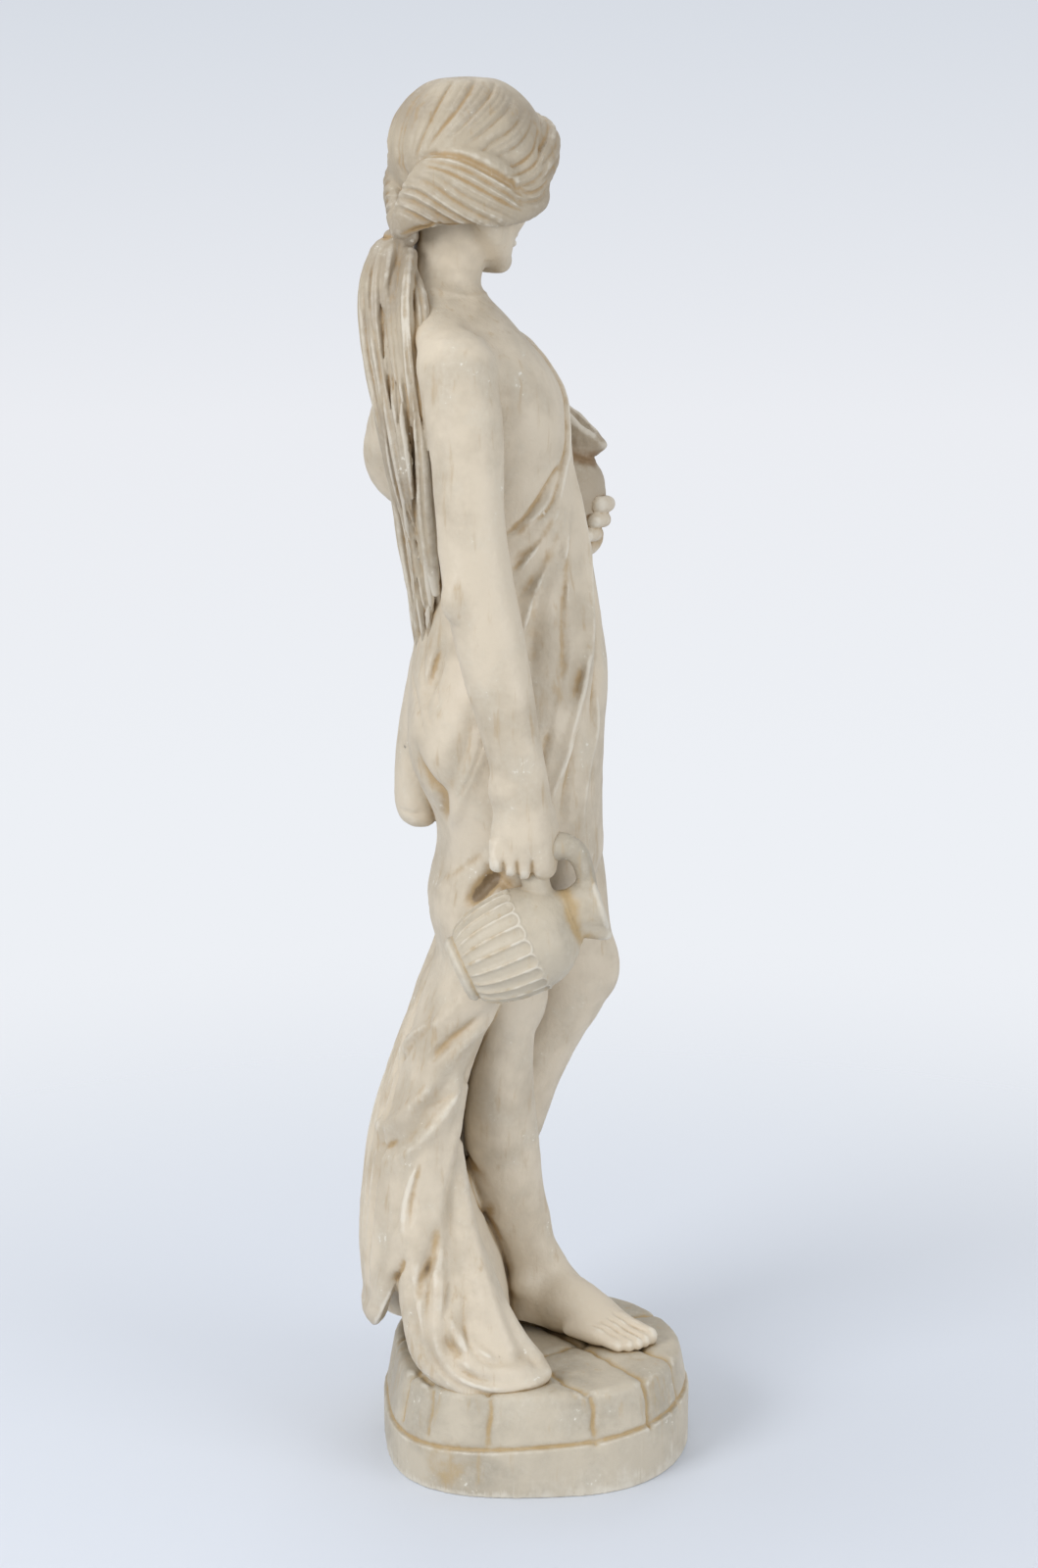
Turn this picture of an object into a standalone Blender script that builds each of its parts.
"""Water carrier: a cast resin statuette of a draped woman with two pitchers, on a paved base.

The figure faces -Y and her right side is -X. The underside of the base is z = 0, and the origin is
under the middle of the base. Sizes are in millimetres, and MM turns them into metres. Her own
shapes are placed from her midline, which stands STANCE to the left of the base's middle.
The whole work is one casting, so everything is fused into one solid.
"""

import math

import bmesh
import bpy
from mathutils import Matrix, Vector
from mathutils.bvhtree import BVHTree

MM = 0.001
STANCE = 28.0

# The base: a rounded outline, a plain band below and a layer of paving above it.
BASE_HALF_WIDE = 132.0
BASE_HALF_DEEP = 125.0
BAND_TOP = 43.0
BAND_SLOPE = -0.06
PAVING_TOP = 81.0
PAVING_INSET = 3.0
PAVING_LEAN = 7.0
PAVING_ROUND = 10.0
# How far the base runs on below the floor before its underside is cut flat.
UNDER_CUT = 15.0

# How fine the fused solid is.
FUSE_GRAIN = 3.0
SOFTENING_PASSES = 3
TRIANGLES = 9500
SLAB = 200.0

RESIN = (0.73, 0.67, 0.56, 1.0)

# Level sections: height, then how far each reaches to her right, left, front and back.
TORSO = [
    (932, -28, 34, 38, 98),
    (918, -48, 50, 24, 100),
    (902, -76, 76, 10, 102),
    (880, -94, 94, -10, 103),
    (858, -92, 92, -24, 103),
    (830, -85, 86, -26, 101),
    (795, -77, 79, -30, 97),
    (760, -70, 73, -38, 90),
    (725, -68, 70, -44, 86),
    (690, -74, 72, -50, 88),
    (650, -86, 79, -54, 94),
    (610, -97, 86, -54, 98),
    (580, -102, 90, -53, 98),
    (550, -104, 92, -52, 90),
    (520, -103, 92, -52, 77),
    (490, -100, 90, -52, 76),
    (455, -94, 86, -34, 84),
    (420, -84, 80, -4, 78),
]
RIGHT_ARM = [
    (902, -108, -64, 48, 90),
    (880, -127, -66, 39, 96),
    (850, -132, -78, 34, 93),
    (813, -134, -86, 33, 88),
    (775, -136, -91, 33, 85),
    (735, -138, -94, 28, 82),
    (707, -140, -94, 23, 77),
    (676, -143, -98, 17, 71),
    (643, -144, -103, 12, 63),
    (613, -143, -108, 8, 54),
    (585, -142, -112, 3, 46),
    (562, -142, -112, -1, 42),
    (535, -142, -110, -4, 44),
    (512, -140, -112, -2, 43),
]
RIGHT_LEG = [
    (600, -82, -20, 0, 50),
    (560, -92, -10, -22, 62),
    (500, -92, -4, -26, 66),
    (440, -78, 4, -14, 62),
    (400, -62, 10, -8, 56),
    (376, -55, 12, -5, 52),
    (354, -50, 13, 0, 50),
    (314, -46, 17, 2, 54),
    (281, -41, 20, 0, 57),
    (245, -33, 23, -4, 57),
    (206, -24, 24, -8, 51),
    (178, -17, 25, -14, 44),
    (157, -13, 27, -18, 33),
    (135, -11, 29, -29, 25),
    (112, -10, 34, -40, 25),
    (88, -8, 36, -30, 22),
]
LEFT_LEG = [
    (610, 20, 70, -20, 40),
    (560, 6, 88, -46, 54),
    (500, 6, 92, -54, 50),
    (440, 12, 86, -63, 30),
    (403, 16, 82, -69, 14),
    (372, 18, 80, -71, 4),
    (343, 22, 82, -62, 6),
    (314, 24, 84, -44, 22),
    (276, 27, 86, -26, 42),
    (237, 32, 86, -13, 58),
    (200, 38, 86, 4, 66),
    (160, 44, 84, 22, 72),
    (128, 46, 82, 34, 82),
    (110, 48, 82, 20, 92),
]
# The cloth that hangs from her hips and falls behind her legs.
SKIRT = [
    (520, -84, 76, -20, 64),
    (485, -99, 90, -32, 78),
    (450, -97, 90, -20, 86),
    (420, -94, 88, 0, 80),
    (400, -91, 86, 18, 84),
    (363, -87, 86, 44, 99),
    (327, -84, 86, 60, 111),
    (290, -84, 87, 66, 122),
    (253, -86, 89, 68, 132),
    (215, -90, 90, 66, 138),
    (178, -98, 92, 52, 143),
    (152, -106, 92, 42, 146),
    (123, -112, 92, 32, 145),
    (100, -116, 90, 26, 140),
    (78, -116, 86, 24, 126),
]
# The inner side of that cloth, which wraps round the back of her left leg.
LEFT_CLOTH = [
    (430, 20, 80, -10, 60),
    (380, 26, 86, 4, 80),
    (330, 28, 90, 20, 95),
    (280, 30, 92, 34, 110),
    (230, 32, 94, 46, 118),
    (170, 34, 95, 54, 124),
    (110, 34, 95, 56, 126),
    (78, 36, 92, 58, 120),
]
CLOTH_TAIL = [
    (690, 0, 46, 56, 84),
    (650, -4, 58, 62, 94),
    (610, 0, 64, 68, 102),
    (570, 6, 68, 72, 108),
    (530, 8, 70, 75, 110),
    (512, 10, 69, 76, 107),
    (505, 16, 64, 79, 100),
]

# Stations along a limb: x, y, z, half its width across and half its thickness.
NECK = [(2, 78, 870, 34, 30), (3, 72, 905, 29, 28), (4, 70, 935, 26, 27), (5, 66, 965, 27, 28), (6, 62, 995, 30, 30)]
LEFT_ARM = [
    (88, 68, 884, 22, 24),
    (106, 72, 872, 28, 29),
    (136, 88, 846, 27, 27),
    (166, 104, 812, 26, 26),
    (186, 112, 784, 26, 26),
    (188, 92, 764, 25, 26),
    (180, 50, 748, 24, 24),
    (162, 2, 732, 20, 19),
    (142, -30, 724, 17, 16),
    (116, -50, 726, 17, 19),
]
RIGHT_FOOT = [
    (24, 16, 104, 17, 17),
    (12, -2, 108, 20, 22),
    (-4, -24, 106, 23, 22),
    (-18, -44, 101, 25, 17),
    (-32, -62, 96, 26, 12),
    (-46, -80, 91, 24, 9),
]
LEFT_FOOT = [(66, 84, 122, 17, 17), (67, 62, 116, 18, 18), (67, 36, 104, 20, 14), (67, 12, 94, 21, 10), (66, -4, 90, 18, 8)]
PONYTAIL = [
    (-6, 102, 984, 13, 11),
    (-9, 112, 966, 17, 17),
    (-13, 117, 940, 26, 25),
    (-18, 116, 900, 30, 25),
    (-22, 112, 860, 30, 24),
    (-22, 107, 820, 29, 23),
    (-18, 98, 780, 27, 20),
    (-12, 88, 740, 25, 17),
    (-8, 82, 700, 23, 14),
    (-4, 84, 668, 20, 12),
    (0, 88, 640, 14, 10),
]
# The end of the cloth, which lies on the paving and laps over its near rim.
SWIRL = [
    (-72, 86, 232, 16, 20),
    (-82, 84, 190, 26, 24),
    (-96, 80, 150, 38, 30),
    (-108, 70, 118, 46, 28),
    (-120, 52, 98, 36, 22),
    (-124, 34, 90, 26, 16),
    (-112, 20, 89, 20, 12),
    (-94, 14, 90, 14, 10),
]

shapes = []


def smooth(stations, steps):
    """Rows on one smooth curve through the stations, a Catmull-Rom spline in each column."""
    ends = [stations[0]] + list(stations) + [stations[-1]]
    rows = []
    for a, b, c, d in zip(ends, ends[1:], ends[2:], ends[3:]):
        for step in range(steps):
            t = step / steps
            rows.append(
                tuple(
                    0.5 * (2 * q + (r - p) * t + (2 * p - 5 * q + 4 * r - s) * t**2 + (3 * q - p - 3 * r + s) * t**3)
                    for p, q, r, s in zip(a, b, c, d)
                )
            )
    rows.append(tuple(stations[-1]))
    return rows


def link(obj):
    bpy.context.scene.collection.objects.link(obj)
    return obj


def add_shape(name, bm, place=None):
    """Makes an object of the mesh and notes it as part of the casting."""
    bmesh.ops.recalc_face_normals(bm, faces=bm.faces)
    mesh = bpy.data.meshes.new(name)
    bm.to_mesh(mesh)
    bm.free()
    obj = link(bpy.data.objects.new(name, mesh))
    obj.matrix_world = place or Matrix.Translation((STANCE * MM, 0, 0))
    shapes.append(obj)
    return obj


def skin(bm, rings):
    """Joins rings of points into a closed solid with flat ends."""
    rows = [[bm.verts.new(Vector(point) * MM) for point in ring] for ring in rings]
    count = len(rows[0])
    for low, high in zip(rows, rows[1:]):
        for k in range(count):
            bm.faces.new((low[k], low[(k + 1) % count], high[(k + 1) % count], high[k]))
    bm.faces.new(rows[0])
    bm.faces.new(rows[-1])


def rounded(turn, half_x, half_y, power):
    """A point on a rounded outline: power 2 is an ellipse, and more is squarer."""
    c, s = math.cos(turn), math.sin(turn)
    x = half_x * math.copysign(abs(c) ** (2 / power), c)
    y = half_y * math.copysign(abs(s) ** (2 / power), s)
    return x, y


def loft(name, sections, power=2.3, steps=4, points=64, place=None):
    """A closed solid through level sections of (height, right, left, front, back)."""
    rings = []
    for z, right, left, front, back in smooth(sections, steps):
        ring = []
        for k in range(points):
            x, y = rounded(math.tau * k / points, (left - right) / 2, (back - front) / 2, power)
            ring.append((x + (left + right) / 2, y + (back + front) / 2, z))
        rings.append(ring)
    bm = bmesh.new()
    skin(bm, rings)
    return add_shape(name, bm, place)


def limb(name, stations, across=(1, 0, 0), steps=5, points=20, place=None):
    """A limb of elliptical section through the stations, with domed ends."""
    rows = smooth(stations, steps)
    domes = []
    for end, inner in ((rows[0], rows[1]), (rows[-1], rows[-2])):
        out = (Vector(end[:3]) - Vector(inner[:3])).normalized() * min(end[3], end[4])
        turns = [math.radians(turn) for turn in (35, 60, 80)]
        domes.append(
            [(*(Vector(end[:3]) + out * math.sin(t)), end[3] * math.cos(t), end[4] * math.cos(t)) for t in turns]
        )
    rows = domes[0][::-1] + rows + domes[1]
    middles = [Vector(row[:3]) for row in rows]
    rings = []
    for i, (middle, row) in enumerate(zip(middles, rows)):
        along = middles[min(i + 1, len(rows) - 1)] - middles[max(i - 1, 0)]
        through = along.cross(Vector(across)).normalized()
        side = through.cross(along).normalized()
        turns = [math.tau * k / points for k in range(points)]
        rings.append([middle + side * row[3] * math.cos(t) + through * row[4] * math.sin(t) for t in turns])
    bm = bmesh.new()
    skin(bm, rings)
    return add_shape(name, bm, place)


def ball(name, centre, radii, turn=0.0, tilt=0.0):
    """An ellipsoid, turned about the upright axis and then tilted forwards, both in degrees."""
    bm = bmesh.new()
    bmesh.ops.create_uvsphere(bm, u_segments=32, v_segments=20, radius=1.0)
    place = Matrix.Translation((Vector(centre) + Vector((STANCE, 0, 0))) * MM)
    place = place @ Matrix.Rotation(math.radians(turn), 4, "Z") @ Matrix.Rotation(math.radians(tilt), 4, "X")
    return add_shape(name, bm, place @ Matrix.Diagonal((*[r * MM for r in radii], 1.0)))


def base_ring(inset, height, slope=0.0, points=96):
    """The base's outline at an inset: squarer at the back corners than at the front ones."""
    ring = []
    for k in range(points):
        turn = math.tau * k / points
        x, y = rounded(turn, BASE_HALF_WIDE - inset, BASE_HALF_DEEP - inset, 2.5 + 0.5 * math.sin(turn))
        ring.append((x, y, height + slope * y))
    return ring


def make_base():
    """The band, whose top edge falls towards the back, and the paving with its rounded shoulder."""
    upright = Matrix.Identity(4)
    bm = bmesh.new()
    skin(bm, [base_ring(0, -UNDER_CUT), base_ring(0, BAND_TOP, BAND_SLOPE)])
    add_shape("band", bm, upright)
    bm = bmesh.new()
    rings = [base_ring(PAVING_INSET, 0), base_ring(PAVING_INSET, BAND_TOP)]
    for turn in (math.radians(degrees) for degrees in (0, 22, 45, 67, 90)):
        inset = PAVING_INSET + PAVING_LEAN + PAVING_ROUND * (1 - math.cos(turn))
        rings.append(base_ring(inset, PAVING_TOP - PAVING_ROUND * (1 - math.sin(turn))))
    skin(bm, rings)
    add_shape("paving", bm, upright)


# A pitcher standing on its foot: the radius and the height at each turn of its profile.
PITCHER = [(25, 0), (27, 3), (26, 7), (23, 10), (30, 21), (36, 34), (40, 48), (42, 61), (41, 73), (35, 83), (26, 90)]
PITCHER_NECK = [(2, 0, 78, 26, 26), (8, 0, 90, 22, 22), (15, 0, 100, 21, 21), (22, 0, 106, 21, 22)]
PITCHER_BEAK = [(14, 0, 104, 16, 16), (3, 0, 112, 12, 12), (-5, 0, 118, 6, 6)]
PITCHER_HANDLE = [
    (40, 0, 54, 9, 9),
    (62, 0, 62, 9, 9),
    (75, 0, 82, 9, 9),
    (76, 0, 100, 9, 9),
    (66, 0, 114, 9, 9),
    (50, 0, 118, 9, 9),
    (34, 0, 112, 10, 10),
]
GADROONS = 20


def make_pitcher(name, foot, axis):
    """A fluted pitcher lying with its axis along axis: body, gadroons, bent neck, beak and loop handle."""
    up = Vector(axis).normalized()
    handle = (Vector((0, 0, 1)) - up * up.z).normalized()
    turn = Matrix((handle, up.cross(handle), up)).transposed().to_4x4()
    place = Matrix.Translation((Vector(foot) + Vector((STANCE, 0, 0))) * MM) @ turn
    rings = []
    for radius, height in smooth(PITCHER, 3):
        turns = [math.tau * k / 48 for k in range(48)]
        rings.append([(radius * math.cos(t), radius * math.sin(t), height) for t in turns])
    bm = bmesh.new()
    skin(bm, rings)
    add_shape(name + "_body", bm, place)
    for k in range(GADROONS):
        rib = [(25, 0, 12, 3, 3), (31, 0, 24, 4, 4), (37, 0, 40, 5.4, 5), (39.5, 0, 52, 5.6, 5), (40, 0, 57, 4, 4)]
        around = place @ Matrix.Rotation(math.tau * k / GADROONS, 4, "Z")
        limb(f"{name}_gadroon_{k}", rib, (0, 1, 0), 3, 8, around)
    limb(name + "_neck", PITCHER_NECK, (0, 1, 0), place=place)
    limb(name + "_beak", PITCHER_BEAK, (0, 1, 0), place=place)
    limb(name + "_handle", PITCHER_HANDLE, (0, 1, 0), place=place)


def make_body():
    loft("torso", TORSO, 2.25)
    loft("right_arm", RIGHT_ARM, 2.1)
    loft("right_leg", RIGHT_LEG, 2.0)
    loft("left_leg", LEFT_LEG, 2.0)
    limb("neck", NECK)
    limb("left_arm", LEFT_ARM, (0, 0, 1))
    ball("right_shoulder", (-96, 67, 884), (31, 29, 25))
    ball("left_shoulder", (96, 68, 884), (30, 29, 25))
    ball("right_breast", (-42, 22, 829), (35, 36, 35))
    ball("left_breast", (42, 17, 826), (36, 38, 37))
    ball("right_buttock", (-44, 52, 588), (48, 46, 50))
    ball("left_buttock", (42, 50, 580), (46, 44, 50))
    ball("belly", (-4, 2, 630), (56, 53, 64))
    limb("right_trapezius", [(-4, 88, 940, 20, 16), (-40, 80, 912, 22, 16), (-84, 72, 896, 22, 16)], (0, 1, 0))
    limb("left_trapezius", [(10, 88, 940, 20, 16), (44, 80, 912, 22, 16), (86, 74, 896, 22, 16)], (0, 1, 0))
    limb("right_foot", RIGHT_FOOT, (0.76, -0.65, 0))
    limb("left_foot", LEFT_FOOT)


def make_head():
    """Skull, plain face and hair: the head turns 35 degrees to her left and looks a little down."""
    turn = 35
    ball("skull", (7, 56, 1028), (45, 56, 57), turn, 5)
    ball("face", (19, 38, 995), (34, 34, 46), turn, 5)
    ball("nose", (38, 10, 1000), (6, 9, 11), turn, 5)
    ball("hair_cap", (5, 59, 1041), (51, 59, 57), turn, 0)
    rolls = {
        "front_roll": [(-22, 12, 1052, 16, 18), (-4, 1, 1056, 17, 20), (24, 0, 1056, 17, 18), (50, 16, 1048, 15, 16)],
        "right_roll": [
            (-12, 8, 1042, 17, 15),
            (-32, 16, 1022, 19, 17),
            (-44, 44, 1016, 21, 22),
            (-40, 76, 1008, 19, 21),
            (-22, 98, 994, 13, 13),
        ],
        "left_roll": [(56, 26, 1036, 15, 15), (56, 60, 1020, 17, 19), (38, 88, 1004, 16, 18), (8, 102, 990, 12, 12)],
        "ponytail": PONYTAIL,
        "hair_tie": [(-8, 96, 976, 12, 11), (-8, 112, 972, 12, 11)],
    }
    for name, stations in rolls.items():
        limb(name, stations, (1, 0, 0) if name != "right_roll" else (0, 0, 1))


def make_hands():
    ball("right_fist", (-125, 20, 524), (16, 23, 20))
    for k in range(4):
        y = 38 - 11 * k
        limb(f"right_finger_{k}", [(-135, y, 520, 6, 6), (-134, y, 508, 6, 6), (-124, y, 500, 6, 6)], (0, 1, 0))
    ball("left_palm", (98, -56, 732), (26, 15, 22))
    for k in range(4):
        z = 751 - 11 * k
        finger = [(88, -66, z, 6.5, 6.5), (72, -65, z - 2, 6.5, 6.5), (58, -56, z - 5, 6, 6)]
        limb(f"left_finger_{k}", finger, (0, 0, 1))


def surface_of(names):
    """What the named shapes look like to a ray, in millimetres from her midline."""
    aside = Matrix.Translation((-STANCE * MM, 0, 0))
    points, faces = [], []
    for obj in shapes:
        if obj.name in names:
            first = len(points)
            points += [(aside @ obj.matrix_world @ v.co) / MM for v in obj.data.vertices]
            faces += [[first + i for i in face.vertices] for face in obj.data.polygons]
    return BVHTree.FromPolygons(points, faces)


# Folds, drawn flat as seen from one side: along (y or x), height and radius at each station.
RIGHT_FOLDS = {
    "neckline": [(6, 885, 4), (-6, 850, 5), (-10, 815, 6), (0, 783, 6), (22, 755, 5)],
    "breast_fold": [(-16, 815, 4), (-24, 760, 7), (-34, 700, 8), (-38, 640, 7), (-40, 585, 4)],
    "waist_fold": [(-6, 790, 4), (-12, 740, 7), (-22, 690, 8), (-24, 640, 8), (-18, 600, 5)],
    "side_fold": [(8, 755, 4), (0, 715, 7), (-8, 665, 7), (-8, 620, 7), (-20, 560, 4)],
    "hip_fold": [(60, 640, 4), (52, 600, 7), (36, 560, 8), (10, 520, 6)],
    "seat_fold": [(86, 650, 4), (80, 600, 6), (62, 560, 7), (60, 510, 8), (78, 470, 5)],
    "knee_fold_high": [(24, 400, 4), (50, 378, 8), (78, 340, 9), (100, 290, 8), (112, 250, 4)],
    "knee_fold_low": [(38, 372, 4), (62, 350, 7), (84, 310, 8), (96, 262, 7)],
    "edge_fold": [(54, 322, 6), (64, 290, 8), (68, 250, 9), (60, 215, 9), (52, 180, 8)],
    "fall_fold": [(110, 250, 5), (106, 210, 8), (98, 170, 9), (92, 130, 7)],
    "back_fold": [(130, 230, 5), (136, 190, 8), (134, 150, 9), (128, 112, 6)],
}
LEFT_FOLDS = {
    f"left_fold_{k}": [(60 - 22 * k, 800 - 12 * k, 4), (50 - 22 * k, 720, 7), (46 - 20 * k, 640, 8), (40 - 16 * k, 560, 5)]
    for k in range(4)
}
BACK_FOLDS = {
    f"back_fold_{k}": [(-60 + 32 * k, 400, 5), (-64 + 34 * k, 320, 9), (-70 + 36 * k, 230, 10), (-74 + 37 * k, 130, 8)]
    for k in range(5)
}
FRONT_FOLDS = {
    f"front_fold_{k}": [(-40 + 26 * k, 790, 4), (-30 + 22 * k, 700, 7), (-24 + 20 * k, 620, 7), (-20 + 18 * k, 550, 4)]
    for k in range(4)
}


def make_folds():
    """Rolls of cloth, laid half sunk in the body and the skirt wherever a ray from that side meets them."""
    cloth = surface_of({"torso", "skirt", "belly", "right_buttock", "left_buttock", "right_breast", "left_breast"})
    sides = [
        (RIGHT_FOLDS, lambda a, z: (-400, a, z), (1, 0, 0)),
        (LEFT_FOLDS, lambda a, z: (400, a, z), (-1, 0, 0)),
        (BACK_FOLDS, lambda a, z: (a, 400, z), (0, -1, 0)),
        (FRONT_FOLDS, lambda a, z: (a, -400, z), (0, 1, 0)),
    ]
    for folds, start, aim in sides:
        for name, drawn in folds.items():
            stations = []
            for along, height, radius in smooth(drawn, 3):
                hit = cloth.ray_cast(Vector(start(along, height)), Vector(aim))[0]
                if hit:
                    stations.append((*(hit + Vector(aim) * radius * 0.45), radius, radius))
            if len(stations) > 3:
                limb(name, stations, aim, 1, 10)


def make_drapery():
    loft("skirt", SKIRT, 2.6)
    loft("left_cloth", LEFT_CLOTH, 2.4)
    loft("cloth_tail", CLOTH_TAIL, 2.4)
    limb("swirl", SWIRL, (0.3, 0.95, 0))


def fused(name):
    """All the shapes in one mesh, ready to be fused into one skin."""
    bm = bmesh.new()
    for obj in shapes:
        mesh = obj.data
        mesh.transform(obj.matrix_world)
        bm.from_mesh(mesh)
        bpy.data.objects.remove(obj)
    mesh = bpy.data.meshes.new(name)
    bm.to_mesh(mesh)
    bm.free()
    return link(bpy.data.objects.new(name, mesh))


def floor_cutter():
    """A slab below the floor, which cuts the underside flat."""
    bpy.ops.mesh.primitive_cube_add(size=1.0, location=(0, 0, -0.5 * SLAB * MM))
    cutter = bpy.context.object
    cutter.name = "floor_cutter"
    cutter.scale = (3 * SLAB * MM, 3 * SLAB * MM, SLAB * MM)
    cutter.hide_render = True
    cutter.display_type = "WIRE"
    put_in(cutter, "cutters")
    return cutter


def put_in(obj, name):
    """Moves the object to a collection of that name."""
    for collection in list(obj.users_collection):
        collection.objects.unlink(obj)
    collection = bpy.data.collections.new(name)
    bpy.context.scene.collection.children.link(collection)
    collection.objects.link(obj)


def finish(obj):
    """Fuses the surface into one skin, softens it, thins it to the triangle budget and cuts it flat below."""
    remesh = obj.modifiers.new("Fuse", "REMESH")
    remesh.mode = "VOXEL"
    remesh.voxel_size = FUSE_GRAIN * MM
    soften = obj.modifiers.new("Soften", "SMOOTH")
    soften.factor = 0.5
    soften.iterations = SOFTENING_PASSES
    graph = bpy.context.evaluated_depsgraph_get()
    faces = len(obj.evaluated_get(graph).to_mesh().polygons)
    thin = obj.modifiers.new("Thin", "DECIMATE")
    thin.ratio = TRIANGLES / (2 * faces)
    underside = obj.modifiers.new("Underside", "BOOLEAN")
    underside.operation = "DIFFERENCE"
    underside.object = floor_cutter()


def resin():
    material = bpy.data.materials.new("aged_resin")
    material.use_nodes = True
    shader = material.node_tree.nodes["Principled BSDF"]
    shader.inputs["Base Color"].default_value = RESIN
    shader.inputs["Roughness"].default_value = 0.6
    return material


def main():
    for obj in list(bpy.data.objects):
        bpy.data.objects.remove(obj)
    make_base()
    make_body()
    make_drapery()
    make_folds()
    make_head()
    make_hands()
    make_pitcher("right_pitcher", (-122, 68, 419), (0.0, -0.966, 0.26))
    make_pitcher("left_pitcher", (118, 24, 735), (-0.2, -0.72, 0.664))
    figure = fused("water_carrier")
    figure.data.materials.append(resin())
    finish(figure)
    put_in(figure, "water_carrier_statuette")


main()
